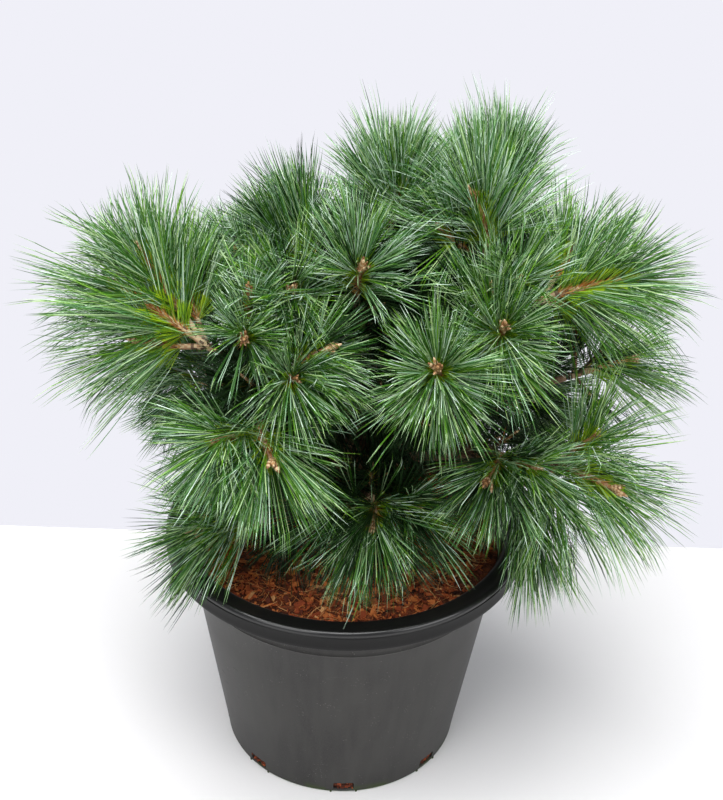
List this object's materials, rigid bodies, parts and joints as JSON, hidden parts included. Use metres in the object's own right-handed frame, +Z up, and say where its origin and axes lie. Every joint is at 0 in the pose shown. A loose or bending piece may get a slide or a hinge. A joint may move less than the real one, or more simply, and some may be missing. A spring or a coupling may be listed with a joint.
{
  "type": "potted dwarf eastern white pine",
  "caption": "Dwarf white pine with whorls of long soft needles on short boughs, planted in a round tapered nursery pot filled with bark substrate.",
  "frame": {"origin": "centre of the pot's flat underside, on the surface it stands on", "axes": "+Z up along the pot's axis, the side of the plant that the picture shows faces -Y"},
  "size_m": [0.6946, 0.6106, 0.7514],
  "materials": {
    "pot": "satin",
    "substrate": "matte",
    "bark": "matte",
    "needles": "matte"
  },
  "bodies": {
    "root": {"pot": "pot", "substrate": "substrate", "trunk": "bark", "left_bough": "bark", "left_front_bough": "bark", "left_under_bough": "bark", "low_left_bough": "bark", "front_left_bough": "bark", "low_front_bough": "bark", "front_bough": "bark", "mid_front_bough": "bark", "upper_front_bough": "bark", "upper_left_bough": "bark", "crest_bough": "bark", "crest_back_bough": "bark", "right_bough": "bark", "right_front_bough": "bark", "right_upper_bough": "bark", "right_middle_bough": "bark", "right_low_bough": "bark", "front_right_bough": "bark", "low_right_bough": "bark", "side_left_bough": "bark", "back_left_top_bough": "bark", "back_top_bough": "bark", "back_right_bough": "bark", "back_bough": "bark", "back_left_bough": "bark", "back_right_low_bough": "bark", "back_low_bough": "bark", "back_left_low_bough": "bark", "top_needles": "needles", "left_needles": "needles", "left_front_needles": "needles", "left_under_needles": "needles", "low_left_needles": "needles", "front_left_needles": "needles", "low_front_needles": "needles", "front_needles": "needles", "mid_front_needles": "needles", "upper_front_needles": "needles", "upper_left_needles": "needles", "crest_needles": "needles", "crest_back_needles": "needles", "right_needles": "needles", "right_front_needles": "needles", "right_upper_needles": "needles", "right_middle_needles": "needles", "right_low_needles": "needles", "front_right_needles": "needles", "low_right_needles": "needles", "side_left_needles": "needles", "back_left_top_needles": "needles", "back_top_needles": "needles", "back_right_needles": "needles", "back_needles": "needles", "back_left_needles": "needles", "back_right_low_needles": "needles", "back_low_needles": "needles", "back_left_low_needles": "needles"}
  },
  "joints": []
}
